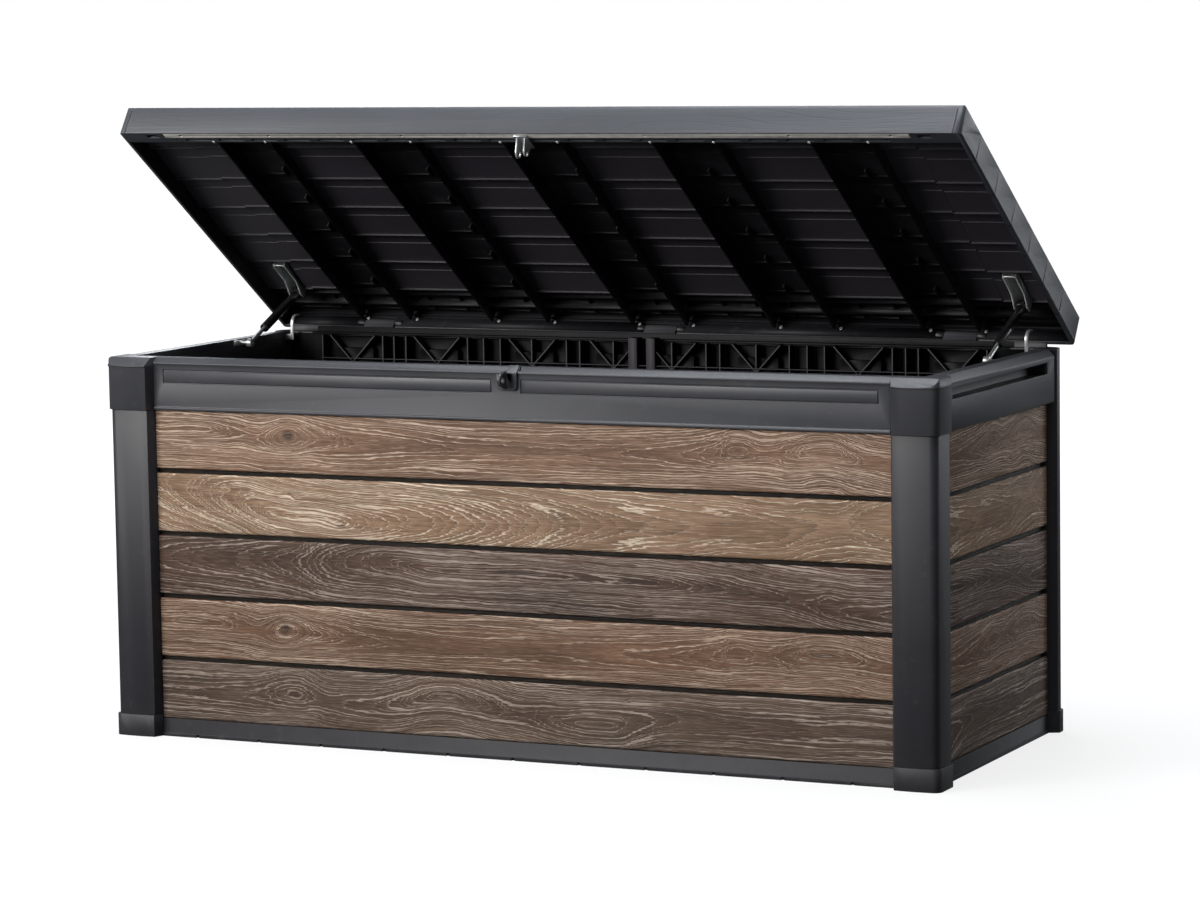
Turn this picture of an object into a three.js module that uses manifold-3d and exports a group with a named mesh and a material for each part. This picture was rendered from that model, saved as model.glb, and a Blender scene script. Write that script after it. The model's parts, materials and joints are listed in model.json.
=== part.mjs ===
// Deck storage box: a moulded frame filled with boards, and a ribbed lid on gas struts.
// Millimetres. +X right, +Y to the rear, +Z up, origin at the centre of the footprint on the ground.
// The lid stands open, as the struts hold it.
import * as THREE from 'three';
import { mergeVertices } from 'three/addons/utils/BufferGeometryUtils.js';
import Module from 'manifold-3d';

// ---- driving dimensions ----
const bodyWidth = 1500;
const bodyDepth = 606;
const rimHeight = 650;
const fit = 0.3;                 // gap between neighbouring pieces

const legX = 81;                 // corner piece, along the front and rear
const legY = 64;                 // front corner piece, along the sides
const rearLegY = 42;             // rear corner piece, along the sides
const returnSlant = 7;           // slope from a corner piece's face back to the wall
const cornerRadius = 13;
const rearCornerRadius = 24;
const wallX = 32;                // thickness of the side walls, from the corner's face
const wallY = 39;                // thickness of the front and rear walls
const capProud = 3;              // caps and feet stand out from the post between them
const capHeight = 89;
const footHeight = 37;

const railRecess = 13;           // front and rear rails, behind the corner's face
const sideRecess = 2;            // side rails, behind the corner's face
const railBevel = 9;
const capBevel = 12;
const sideBevel = 12;
const rearFlange = 9;            // strip along the rear rail and rear corners, above the rim
const flangeThickness = 6;
const plinthHeight = 31;

const boardRows = 5;
const boardGap = 7;
const boardThickness = 8;
const boardRecess = 16;
const boardEdge = 2.5;
const tongueThickness = 2.5;     // tongue behind the gap above a board

const linerSkin = 2.5;
const linerRib = 12;
const trussDepth = 20;
const trussFloor = 598;          // height of the shelf under the trusses
const trussBar = 2;
const floorTop = 20;
const floorThickness = 5;

const slotBack = 226;            // hand slot in each side rail
const slotFront = -226;
const slotLow = 611;
const slotHigh = 630;
const slotDepth = 27;

const haspLeft = -15;            // plate on the front rail
const haspRight = 21;

const lidWidth = 1528;
const lidLength = 667;
const lidHeight = 53;
const lidBottom = 652;           // underside of the skirt when the lid is closed
const lidRear = 330;             // rear face of the closed lid
const lidOpen = 34.2;            // degrees
const lidWall = 8;
const lidFrontWall = 29;
const lidSkin = 7;
const plankLines = [582, 480, 386, 292, 200, 103];       // from the lid's rear edge
const plankStep = 2.2;           // each plank stands this much above the rear end of the one in front
const plankSag = 7;              // fall of each panel under the lid, from its front to its rear
const lidCorner = 9;
const ribPlaces = [52, 218, 330, 495, 595];              // each side of the middle

const hingeY = 327;
const hingeZ = 662;
const hingePlaces = [-560, 0, 560];
const knuckleRadius = 8;
const pinRadius = 3;
const lugHalf = 30;
const lidKnuckle = 14;

const strutX = 694;
const studY = 82;
const studZ = 645;
const lidPivotY = 235;           // strut's upper pivot when the lid is closed
const lidPivotZ = 671;
const strutRadius = 8;
const rodRadius = 3.6;
const tubeStart = 55;            // from the lower pivot, with the lid open
const rodLength = 102;

const hookX = 703;               // steel hook on each side wall, behind the strut
const hookFront = 248;
const hookBack = 276;
const hookTop = 681;

// ---- materials ----
const graphite = () => new THREE.MeshStandardMaterial({ color: 0x46484c, roughness: 0.55, metalness: 0 });
const black = () => new THREE.MeshStandardMaterial({ color: 0x18181b, roughness: 0.6, metalness: 0 });
const zinc = () => new THREE.MeshStandardMaterial({ color: 0xb9bcbd, roughness: 0.35, metalness: 0.9 });
const enamel = () => new THREE.MeshStandardMaterial({ color: 0x111113, roughness: 0.3, metalness: 0.2 });
const boardColours = [0x6d5241, 0x8a7055, 0x4b3f37, 0x6a4e3e, 0x5b4a3e];
const board = (row) => new THREE.MeshStandardMaterial({ color: boardColours[row], roughness: 0.7, metalness: 0 });

// ---- solids ----
const wasm = await Module();
wasm.setup();

function toSolid(geometry) {
  geometry.deleteAttribute('normal');
  geometry.deleteAttribute('uv');
  const merged = mergeVertices(geometry, 1e-4);
  const shape = new wasm.Mesh({
    numProp: 3,
    vertProperties: new Float32Array(merged.attributes.position.array),
    triVerts: new Uint32Array(merged.index.array),
  });
  return new wasm.Manifold(shape);
}

function toGeometry(solid) {
  const shape = solid.getMesh();
  const geometry = new THREE.BufferGeometry();
  geometry.setAttribute('position', new THREE.BufferAttribute(new Float32Array(shape.vertProperties), 3));
  geometry.setIndex(new THREE.BufferAttribute(new Uint32Array(shape.triVerts), 1));
  geometry.computeVertexNormals();
  return geometry;
}

function box(x0, x1, y0, y1, z0, z1) {
  const geometry = new THREE.BoxGeometry(Math.abs(x1 - x0), Math.abs(y1 - y0), Math.abs(z1 - z0));
  geometry.translate((x0 + x1) / 2, (y0 + y1) / 2, (z0 + z1) / 2);
  return toSolid(geometry);
}

// A prism along one axis. Its outline is in (x, y) for 'z', in (y, z) for 'x' and in (x, z) for 'y'.
function prism(axis, outline, from, to) {
  const points = outline.map(([a, b]) => (axis === 'y' ? new THREE.Vector2(b, a) : new THREE.Vector2(a, b)));
  const geometry = new THREE.ExtrudeGeometry(new THREE.Shape(points), { depth: to - from, bevelEnabled: false });
  geometry.translate(0, 0, from);
  const x = new THREE.Vector3(1, 0, 0);
  const y = new THREE.Vector3(0, 1, 0);
  const z = new THREE.Vector3(0, 0, 1);
  const turn = new THREE.Matrix4();
  if (axis === 'x') geometry.applyMatrix4(turn.makeBasis(y, z, x));
  if (axis === 'y') geometry.applyMatrix4(turn.makeBasis(z, x, y));
  return toSolid(geometry);
}

function arc(cx, cy, radius, startDegrees, endDegrees, steps) {
  const points = [];
  for (let i = 0; i <= steps; i += 1) {
    const angle = THREE.MathUtils.degToRad(startDegrees + (endDegrees - startDegrees) * i / steps);
    points.push([cx + radius * Math.cos(angle), cy + radius * Math.sin(angle)]);
  }
  return points;
}

function round(axis, a, b, radius, from, to, sides = 16) {
  return prism(axis, arc(a, b, radius, 0, 360 - 360 / sides, sides - 1), from, to);
}

const join = (solids) => solids.slice(1).reduce((sum, next) => sum.add(next), solids[0]);

const halfX = bodyWidth / 2;
const halfY = bodyDepth / 2;
const insideX = halfX - wallX;
const insideY = halfY - wallY;
const spanX = halfX - legX - fit;        // half length of what lies between two corners, along X
const spanFront = -(halfY - legY - fit);  // ends of what lies between two corners, along Y
const spanRear = halfY - rearLegY - fit;

const model = new THREE.Group();

function place(parent, name, solid, material) {
  const mesh = new THREE.Mesh(toGeometry(solid), material);
  mesh.name = name;
  parent.add(mesh);
}

// ---- corner pieces: a foot and a post, and a cap at the front ----
function cornerOutline(proud, sx, sy, sideStep = railRecess) {
  const faceEnd = legX - returnSlant;
  const radius = sy < 0 ? cornerRadius : rearCornerRadius;
  const leg = sy < 0 ? legY : rearLegY;
  const slant = Math.min(returnSlant, sideStep + proud);
  const points = arc(radius - proud, radius - proud, radius, 180, 270, 5);
  const swell = 1.5;
  for (const t of [0.25, 0.5, 0.75]) {
    points.push([radius + (faceEnd - radius) * t, -proud - swell * Math.sin(Math.PI * t)]);
  }
  points.push([faceEnd, -proud], [legX, railRecess], [legX, wallY], [wallX, wallY]);
  points.push([wallX, leg], [sideStep, leg], [-proud, leg - slant]);
  return points.map(([u, v]) => [sx * (halfX - u), sy * (halfY - v)]);
}

function cap(sx) {
  const low = rimHeight - capHeight;
  const beadHeight = 4;
  const shoulder = rimHeight - capBevel;
  const outer = halfY + capProud + 2;
  const bevel = prism('x', [
    [-outer, shoulder - 2],
    [-outer - 20, shoulder - 2],
    [-outer - 20, rimHeight + 5],
    [-outer + capBevel + 7, rimHeight + 5],
  ], sx > 0 ? 600 : -halfX - 20, sx > 0 ? halfX + 20 : -600);
  const sideBevel = prism('y', [
    [sx * (halfX + capProud), rimHeight - 3],
    [sx * (halfX + capProud + 9), rimHeight - 3],
    [sx * (halfX + capProud + 9), rimHeight + 6],
    [sx * (halfX + capProud - 5), rimHeight + 2],
  ], -halfY - 20, halfY + 20);
  let solid = prism('z', cornerOutline(capProud, sx, -1, sideRecess), low, rimHeight);
  solid = solid.add(prism('z', cornerOutline(capProud + 1, sx, -1, sideRecess), shoulder - beadHeight, shoulder));
  return solid.subtract(bevel).subtract(sideBevel);
}

const corners = [
  ['front_left', -1, -1],
  ['front_right', 1, -1],
  ['rear_left', -1, 1],
  ['rear_right', 1, 1],
];
for (const [name, sx, sy] of corners) {
  const postLow = footHeight + fit;
  const postHigh = sy < 0 ? rimHeight - capHeight - fit : rimHeight;
  place(model, `foot_${name}`, prism('z', cornerOutline(capProud, sx, sy), 0, footHeight), graphite());
  let post = prism('z', cornerOutline(0, sx, sy), postLow, postHigh);
  if (sy > 0) {
    const wall = halfY - railRecess;
    const strip = [sx * (halfX - legX), sx * (halfX - wallX + 8)];
    post = post.add(box(...strip, wall - flangeThickness, wall, rimHeight - 14, rimHeight + rearFlange));
  }
  place(model, `post_${name}`, post, graphite());
  if (sy < 0) place(model, `cap_${name}`, cap(sx), graphite());
}

// ---- base: a plinth all round, a floor, and ribs under it ----
function basePan() {
  const plinthFace = railRecess + 3;
  const lipHeight = 6;
  const inX = insideX - fit;
  const inY = insideY - fit;
  const parts = [box(-inX, inX, -inY, inY, floorTop - floorThickness, floorTop)];
  for (const s of [-1, 1]) {
    parts.push(box(-spanX, spanX, s * (halfY - plinthFace), s * (insideY + 1), 0, plinthHeight));
    parts.push(box(-spanX, spanX, s * (halfY - plinthFace + 2), s * (inY - 6), 0, lipHeight));
    parts.push(box(-spanX, spanX, s * (insideY + 2), s * (inY - 6), 0, floorTop));
    parts.push(box(s * (halfX - plinthFace), s * (insideX + 1), spanFront, spanRear, 0, plinthHeight));
    parts.push(box(s * (halfX - plinthFace + 2), s * (inX - 6), spanFront, spanRear, 0, lipHeight));
    parts.push(box(s * (insideX + 2), s * (inX - 6), spanFront, spanRear, 0, floorTop));
  }
  for (const x of [-480, -240, 0, 240, 480]) parts.push(box(x - 12, x + 12, -inY, inY, 0, floorTop - 2));
  for (const y of [-130, 0, 130]) parts.push(box(-inX, inX, y - 8, y + 8, 0, floorTop - 2));
  let solid = join(parts);
  const notch = 3;
  for (let x = -600; x <= 600; x += 120) {
    for (const s of [-1, 1]) {
      const y = s * (halfY - plinthFace + 2);
      solid = solid.subtract(box(x - notch, x + notch, y - 3.5, y + 3.5, -1, lipHeight - 1));
    }
  }
  return solid;
}
place(model, 'base_pan', basePan(), graphite());

// ---- boards: five rows on each wall ----
const boardLow = plinthHeight + fit;
const boardHigh = rimHeight - capHeight - fit;
const boardPitch = (boardHigh - boardLow + boardGap) / boardRows;

function boardOutline(row, face, inward) {
  const z0 = boardLow + (boardRows - 1 - row) * boardPitch;
  const z1 = z0 + boardPitch - boardGap;
  const back = face + inward * boardThickness;
  const tongue = back - inward * tongueThickness;
  const tongueTop = row > 0 ? z1 + boardGap - fit : z1;
  return [
    [back, z0], [face + inward * boardEdge, z0], [face, z0 + boardEdge],
    [face, z1 - boardEdge], [face + inward * boardEdge, z1], [tongue, z1],
    ...(row > 0 ? [[tongue, tongueTop], [back, tongueTop]] : [[back, z1]]),
  ];
}
for (let row = 0; row < boardRows; row += 1) {
  const number = row + 1;
  for (const [name, s] of [['front', -1], ['rear', 1]]) {
    const outline = boardOutline(row, s * (halfY - boardRecess), -s);
    place(model, `board_${name}_${number}`, prism('x', outline, -spanX, spanX), board(row));
  }
  for (const [name, s] of [['left', -1], ['right', 1]]) {
    const outline = boardOutline(row, s * (halfX - boardRecess), -s);
    place(model, `board_${name}_${number}`, prism('y', outline, spanFront, spanRear), board(row));
  }
}

// ---- top rails ----
const railLow = rimHeight - capHeight;

function railOutline(face, inward, back) {
  const shoulder = rimHeight - railBevel;
  return [
    [back, railLow], [face - inward * 2, railLow], [face - inward * 2, railLow + 4],
    [face, railLow + 6], [face, shoulder - 3], [face - inward, shoulder - 3], [face - inward, shoulder],
    [face + inward * (railBevel - 1), rimHeight], [back, rimHeight],
  ];
}

// A shallow panel, outlined by a groove.
function panelGroove(s, x0, x1, z0, z1) {
  const face = s * (halfY - railRecess);
  const width = 2.4;
  const depth = 1.6;
  const deep = face - s * depth;
  const out = face + s * 5;
  return join([
    box(x0, x1, deep, out, z0, z0 + width),
    box(x0, x1, deep, out, z1 - width, z1),
    box(x0, x0 + width, deep, out, z0, z1),
    box(x1 - width, x1, deep, out, z0, z1),
  ]);
}

function longRail(s) {
  const outline = railOutline(s * (halfY - railRecess), -s, s * insideY);
  let solid = prism('x', outline, -spanX, spanX);
  const grooveEnd = 650;
  const latchHalf = 26;
  for (const [x0, x1] of [[-grooveEnd, -latchHalf], [latchHalf, grooveEnd]]) {
    solid = solid.subtract(panelGroove(s, x0, x1, 606, 630));
  }
  return solid;
}

function frontRail() {
  const face = halfY - railRecess;
  const notch = box(haspRight + 1.5, haspRight + 4.5, -face - 3, -face + 9, rimHeight - 7, rimHeight + 3);
  return longRail(-1).subtract(notch);
}

function hingeLug(x) {
  const wall = halfY - railRecess;
  const arm = prism('x', [
    [wall - 4, 604], [wall + 6, 604], [hingeY + 6, hingeZ - 5], [hingeY - 6, hingeZ + 4],
    [wall + 8, rimHeight - 8], [wall - 4, rimHeight - 14],
  ], x - lugHalf, x + lugHalf);
  return arm.add(round('x', hingeY, hingeZ, knuckleRadius, x - lugHalf, x + lugHalf));
}

function rearRail() {
  const wall = halfY - railRecess;
  const low = rimHeight - railBevel - 5;
  let solid = longRail(1).add(box(-spanX, spanX, wall - flangeThickness, wall, low, rimHeight + rearFlange));
  for (const x of hingePlaces) {
    solid = solid.add(hingeLug(x));
    solid = solid.subtract(round('x', hingeY, hingeZ, pinRadius + 0.5, x - lugHalf - 1, x + lugHalf + 1));
  }
  return solid;
}

function sideRail(s) {
  const face = s * (halfX - sideRecess);
  const back = s * insideX;
  let solid = prism('y', [
    [back, railLow], [face - s, railLow], [face, railLow + 3], [face, rimHeight - sideBevel],
    [face - s * (sideBevel - 3), rimHeight], [back, rimHeight],
  ], spanFront, spanRear);
  const pocketBack = face - s * (slotDepth + 5);
  solid = solid.add(box(pocketBack, s * (insideX + 4), slotFront - 8, slotBack + 8, slotLow - 6, slotHigh + 6));
  solid = solid.subtract(box(face - s * slotDepth, face + s * 10, slotFront, slotBack, slotLow, slotHigh));
  return solid;
}

place(model, 'rail_front', frontRail(), graphite());
place(model, 'rail_rear', rearRail(), graphite());
place(model, 'rail_left', sideRail(-1), graphite());
place(model, 'rail_right', sideRail(1), graphite());

// ---- inner walls: a skin with ribs, and trusses along the top of the front and rear ----
const linerTop = rimHeight - 2;
const linerFace = insideY - fit - linerSkin;

function bar(s, ax, az, bx, bz, width, deep) {
  const length = Math.hypot(bx - ax, bz - az);
  const nx = -(bz - az) / length * width / 2;
  const nz = (bx - ax) / length * width / 2;
  const outline = [[ax + nx, az + nz], [bx + nx, bz + nz], [bx - nx, bz - nz], [ax - nx, az - nz]];
  const near = s * (linerFace + 1);
  const far = s * (linerFace - deep);
  return prism('y', outline, Math.min(near, far), Math.max(near, far));
}

function longLiner(s) {
  const endX = insideX - linerSkin - 2 * fit;
  const topX = 640;
  const parts = [box(-endX, endX, s * linerFace, s * (insideY - fit), floorTop + fit, linerTop)];
  for (const [rise, thick] of [[0, 2], [7, 1.5]]) {
    const z = trussFloor + rise;
    parts.push(box(-topX, topX, s * (linerFace + 1), s * (linerFace - trussDepth), z, z + thick));
  }
  parts.push(box(-topX, topX, s * (linerFace + 1), s * (linerFace - 6), linerTop - 3, linerTop));
  for (let x = -640; x <= 640; x += 80) {
    parts.push(box(x - 2, x + 2, s * (linerFace + 1), s * (linerFace - linerRib), floorTop + fit, trussFloor + 1));
  }
  const blockDepth = 11;
  const blockTop = trussFloor + 26;
  for (const [apex, upright] of [[56, true], [215, true], [404, false], [575, false]]) {
    for (const side of [-1, 1]) {
      const x = side * apex;
      parts.push(bar(s, x, trussFloor + 1, x - 45, linerTop - 1, trussBar, trussDepth));
      parts.push(bar(s, x, trussFloor + 1, x + 45, linerTop - 1, trussBar, trussDepth));
      if (upright) parts.push(bar(s, x, trussFloor + 1, x, linerTop - 1, trussBar, trussDepth));
      parts.push(box(x - 38, x + 38, s * (linerFace + 1), s * (linerFace - blockDepth), trussFloor + 1, blockTop));
    }
  }
  for (const place of [121, 147, 277, 310, 342, 466, 490, 513, 636]) {
    for (const side of [-1, 1]) {
      const x = side * place;
      parts.push(bar(s, x, trussFloor + 1, x, linerTop - 1, trussBar, trussDepth));
    }
  }
  if (s > 0) {
    for (const x of [-17, 17]) {
      parts.push(box(x - 8, x + 8, linerFace + 1, linerFace - trussDepth - 4, trussFloor - 60, linerTop + 6));
    }
  }
  return join(parts);
}

function sideLiner(s) {
  const face = insideX - fit - linerSkin;
  const top = slotLow - 8;
  const parts = [box(s * face, s * (insideX - fit), -insideY + fit, insideY - fit, floorTop + fit, top)];
  for (let y = -210; y <= 210; y += 70) {
    parts.push(box(s * (face + 1), s * (face - linerRib), y - 2, y + 2, floorTop + fit, top));
  }
  parts.push(box(s * (face + 1), s * (face - linerRib), -240, 240, top - 3, top));
  return join(parts);
}

place(model, 'liner_front', longLiner(-1), black());
place(model, 'liner_rear', longLiner(1), black());
place(model, 'liner_left', sideLiner(-1), black());
place(model, 'liner_right', sideLiner(1), black());

// ---- hasp on the front rail: a plate, folded over the rim at one side, and an eye for a padlock ----
const eyeHoleY = -307;
const eyeHoleZ = 630;

function hasp() {
  const face = -(halfY - railRecess) - 1 - fit;
  const low = 612;
  const corner = 7;
  const thick = 3;
  const top = rimHeight - railBevel - 3;
  const outline = [
    ...arc(haspLeft + corner, low + corner, corner, 180, 270, 4),
    ...arc(haspRight - corner, low + corner, corner, 270, 360, 4),
    [haspRight, top], [haspLeft, top],
  ];
  const foldLow = rimHeight - railBevel + 0.2;       // where the fold starts to follow the rim's bevel
  const foldTop = rimHeight + fit;
  const run = foldTop - foldLow;
  const fold = prism('x', [
    [face - thick, top - 2], [face, top - 2], [face, foldLow], [face + run, foldTop], [face + run + 8, foldTop],
    [face + run + 8, foldTop + 1.5], [face + run - 0.7, foldTop + 1.5], [face - thick, foldLow - 0.6],
  ], haspRight - 19, haspRight);
  const plate = prism('y', outline, face - thick, face).add(fold);
  const eye = prism('x', [
    [face - 1, eyeHoleZ - 17], [eyeHoleY, eyeHoleZ - 11],
    ...arc(eyeHoleY, eyeHoleZ, 11, 270, 90, 8).slice(1, -1),
    [eyeHoleY, eyeHoleZ + 11], [face - 1, eyeHoleZ + 14],
  ], -3, 3);
  return plate.add(eye).subtract(round('x', eyeHoleY, eyeHoleZ, 5.5, -5, 5));
}
place(model, 'hasp_plate', hasp(), graphite());

// ---- hinge pins ----
hingePlaces.forEach((x, index) => {
  const half = lugHalf + lidKnuckle;
  place(model, `hinge_pin_${index + 1}`, round('x', hingeY, hingeZ, pinRadius, x - half, x + half, 12), zinc());
});

// ---- lower strut studs on the side walls ----
function lowerStud(s) {
  const base = prism('y', [
    [s * (insideX - fit), studZ - 6], [s * (insideX - 4), studZ - 6],
    [s * (insideX - 4), studZ + 3], [s * (insideX - fit), studZ + 3],
  ], studY - 20, studY + 20);
  const near = s * (insideX - 2);
  const far = s * (strutX - 7);
  return base.add(round('x', studY, studZ - 1, 3, Math.min(near, far), Math.max(near, far), 12));
}
place(model, 'strut_stud_left', lowerStud(-1), zinc());
place(model, 'strut_stud_right', lowerStud(1), zinc());

// ---- steel hooks on the side walls, under the lid ----
function wallHook(s) {
  const thickness = 3;
  const low = 636;
  const bend = 17;
  const centre = [hookFront + bend, hookTop - bend];
  const outline = [
    [hookFront + thickness, low], [hookFront, low],
    ...arc(...centre, bend, 180, 90, 6),
    [hookBack, hookTop], [hookBack, hookTop - thickness],
    ...arc(...centre, bend - thickness, 90, 180, 6),
  ];
  const strip = prism('x', outline, s * hookX - 3, s * hookX + 3);
  const tab = box(s * (hookX + 2), s * (insideX - fit), hookFront, hookFront + 13, low, low + 10);
  return strip.add(tab);
}
place(model, 'wall_hook_left', wallHook(-1), zinc());
place(model, 'wall_hook_right', wallHook(1), zinc());

// ---- lid, drawn closed and turned open about the hinge ----
const lid = new THREE.Group();
lid.position.set(0, hingeY, hingeZ);
lid.rotation.x = -THREE.MathUtils.degToRad(lidOpen);
const lidClosed = new THREE.Group();
lidClosed.position.set(0, -hingeY, -hingeZ);
lid.add(lidClosed);
model.add(lid);

const lidHalf = lidWidth / 2;
const lidTop = lidBottom + lidHeight;
const lidFront = lidRear - lidLength;
const fromRear = (v) => lidRear - v;     // a distance from the lid's rear edge, as a Y

function lidShell() {
  const edge = 3;
  const outline = [
    [-lidHalf + edge, lidBottom], [lidHalf - edge, lidBottom], [lidHalf, lidBottom + edge],
    [lidHalf - 1, lidTop - edge], [lidHalf - 1 - edge, lidTop], [-lidHalf + 1 + edge, lidTop],
    [-lidHalf + 1, lidTop - edge], [-lidHalf, lidBottom + edge],
  ];
  let solid = prism('y', outline, lidFront, lidRear);
  for (const [y, s] of [[lidFront, -1], [lidRear, 1]]) {
    const slope = prism('x', [
      [y + s, lidTop - edge], [y + s * 9, lidTop - edge], [y + s * 9, lidTop + 9], [y - s * 10, lidTop + 9],
      [y - s * edge, lidTop],
    ], -lidHalf - 5, lidHalf + 5);
    solid = solid.subtract(slope);
  }
  solid = solid.intersect(prism('z', [
    ...arc(-lidHalf + lidCorner, lidFront + lidCorner, lidCorner, 180, 270, 5),
    ...arc(lidHalf - lidCorner, lidFront + lidCorner, lidCorner, 270, 360, 5),
    ...arc(lidHalf - lidCorner, lidRear - lidCorner, lidCorner, 0, 90, 5),
    ...arc(-lidHalf + lidCorner, lidRear - lidCorner, lidCorner, 90, 180, 5),
  ], lidBottom - 5, lidTop + 5));
  const seam = 13;
  for (const s of [-1, 1]) {
    const x = s * (lidHalf - seam);
    solid = solid.subtract(box(x - 0.6, x + 0.6, lidFront - 1, lidFront + 1, lidBottom - 1, lidTop - 8));
  }
  const hollowTop = lidTop - lidSkin;
  solid = solid.subtract(box(
    -lidHalf + lidWall, lidHalf - lidWall, fromRear(lidLength - lidFrontWall), fromRear(lidWall),
    lidBottom - 5, hollowTop,
  ));
  const planks = [lidLength, ...plankLines, 0];
  const sideStep = 1;
  for (let i = 0; i < planks.length - 1; i += 1) {
    const front = fromRear(planks[i]);
    const rear = fromRear(planks[i + 1]);
    const over = lidTop + 5;
    const fall = prism('x', [[front, lidTop], [rear, lidTop - plankStep], [rear, over], [front, over]],
      -lidHalf - 5, lidHalf + 5);
    solid = solid.subtract(fall);
    for (const s of [-1, 1]) {
      const beside = s * (lidHalf + 5);
      const taper = [[s * lidHalf, front], [s * (lidHalf - sideStep), rear], [beside, rear], [beside, front]];
      solid = solid.subtract(prism('z', s > 0 ? taper : taper.reverse(), lidBottom + 6, over));
    }
    if (i > 0) {
      const low = lidTop - 4;
      const groove = [[front - 0.8, low], [front + 0.8, low], [front + 1.2, over], [front - 1.2, over]];
      solid = solid.subtract(prism('x', groove, -lidHalf - 5, lidHalf + 5));
    }
  }
  const pocketTop = lidBottom + 8;
  for (let x = 40; x <= 616; x += 64) {
    for (const s of [-1, 1]) {
      const across = [s * (x - 24), s * (x + 24)];
      solid = solid.subtract(box(...across, fromRear(648.5), fromRear(641.5), lidBottom - 1, pocketTop));
    }
  }
  for (const s of [-1, 1]) {
    solid = solid.subtract(box(s * 690, s * 712, fromRear(661), fromRear(651), lidBottom - 1, pocketTop));
  }
  const barFront = fromRear(664.5);
  solid = solid.subtract(box(-678, 678, barFront, barFront + 13, lidBottom - 1, lidBottom + 3));
  solid = solid.subtract(box(-14, 14, barFront + 12, barFront + 40, lidBottom - 1, lidBottom + 3));
  for (const x of hingePlaces) {
    const room = lugHalf + 1;
    const roomTop = hingeZ + knuckleRadius + 1;
    solid = solid.subtract(box(x - room, x + room, lidRear - 20, lidRear + 5, lidBottom - 5, roomTop));
    for (const s of [-1, 1]) {
      const a = x + s * room;
      const b = x + s * (room + lidKnuckle);
      const from = Math.min(a, b);
      const to = Math.max(a, b);
      solid = solid.add(round('x', hingeY, hingeZ, knuckleRadius, from, to));
      solid = solid.subtract(round('x', hingeY, hingeZ, pinRadius + 0.5, from - 1, to + 1));
    }
  }
  return solid;
}

// The lining's panels between two places along the lid. Each falls to a ledge at its rear end.
function liningPanels(x0, x1, top, plate, lines) {
  const underside = [];
  for (let i = 0; i < lines.length - 1; i += 1) {
    const front = fromRear(lines[i]);
    const rear = fromRear(lines[i + 1]);
    const crease = front + (rear - front) * 0.36;
    const sagThere = plankSag * 0.3;
    const ledge = plate - plankSag - 2.5;
    underside.push([front, plate], [crease, plate - sagThere], [crease, plate - sagThere - 1.2]);
    underside.push([rear - 3, plate - plankSag], [rear - 3, ledge], [rear, ledge]);
  }
  const front = fromRear(lines[0]);
  const rear = fromRear(lines[lines.length - 1]);
  return prism('x', [...underside, [rear, top], [front, top]], x0, x1);
}

function lidLiner() {
  const top = lidTop - lidSkin - fit;
  const plate = top - 3;
  const front = fromRear(lidLength - lidFrontWall - 1);
  const rear = fromRear(16);
  const halfPlate = lidHalf - lidWall - 1;
  const ribLow = lidBottom + 12;
  const jogPlace = 660;
  const jog = 4;
  const ends = [lidLength - lidFrontWall - 1, 16];
  const lines = [ends[0], ...plankLines, ends[1]];
  const outerLines = [ends[0], ...plankLines.map((v) => v - jog), ends[1]];
  const parts = [
    liningPanels(-jogPlace, jogPlace, top, plate, lines),
    liningPanels(-halfPlate, -jogPlace, top, plate, outerLines),
    liningPanels(jogPlace, halfPlate, top, plate, outerLines),
  ];
  for (const place of ribPlaces) {
    for (const s of [-1, 1]) {
      parts.push(box(s * place - 2, s * place + 2, front, rear, ribLow, plate + 1));
    }
  }
  for (const v of plankLines) {
    for (const x of [-530, -250, 30, 270, 545]) {
      parts.push(box(x - 1.5, x + 1.5, fromRear(v + 24), fromRear(v), plate - 14, plate + 1));
    }
  }
  parts.push(box(-halfPlate, halfPlate, front, front + 3, lidBottom + 8, plate + 1));
  parts.push(box(-halfPlate, halfPlate, fromRear(80), fromRear(77), plate - 14, plate + 1));
  parts.push(box(-halfPlate, halfPlate, fromRear(50), fromRear(47), plate - 18, plate + 1));
  for (let x = -640; x <= 640; x += 64) {
    parts.push(box(x - 1.5, x + 1.5, fromRear(78), rear, plate - 10, plate + 1));
  }
  const padLow = 689;
  for (const s of [-1, 1]) {
    parts.push(box(s * (strutX - 11), s * (strutX + 11), fromRear(186), fromRear(92), padLow, plate + 1));
  }
  let solid = join(parts);
  for (const s of [-1, 1]) {
    solid = solid.subtract(box(s * (strutX - 15), s * (strutX + 15), fromRear(190), fromRear(82), 600, padLow));
  }
  return solid;
}
place(lidClosed, 'lid_shell', lidShell(), graphite());
place(lidClosed, 'lid_liner', lidLiner(), black());

// A steel strip under the lid's front lip.
function lidBar() {
  const y = fromRear(664.2);
  let solid = box(-677, 677, y, y + 12.4, lidBottom, lidBottom + 2.6);
  for (const x of [-645, -473, -221, 221, 473, 645]) {
    solid = solid.subtract(round('z', x, y + 6.2, 3, lidBottom - 1, lidBottom + 4, 10));
  }
  return solid;
}
place(lidClosed, 'lid_bar', lidBar(), zinc());

// A fork that straddles the hasp's eye when the lid is closed.
function lidClasp() {
  const front = fromRear(664.2);
  const back = eyeHoleY + 8;
  const low = eyeHoleZ - 9;
  const top = lidBottom - fit;
  const parts = [box(-12, 12, front + 3, back + 4, top - 3, top)];
  for (const [x, rise] of [[-6.5, 0], [6.5, 4]]) {
    const outline = [
      [back, top - 1], [front + 6, top - 1],
      ...arc(eyeHoleY - 3, low + rise + 9, 9, 200, 340, 6),
    ];
    parts.push(prism('x', outline, x - 1.5, x + 1.5));
  }
  return join(parts).subtract(round('x', eyeHoleY, eyeHoleZ, 4.5, -15, 15, 12));
}
place(lidClosed, 'lid_clasp', lidClasp(), zinc());

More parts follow.
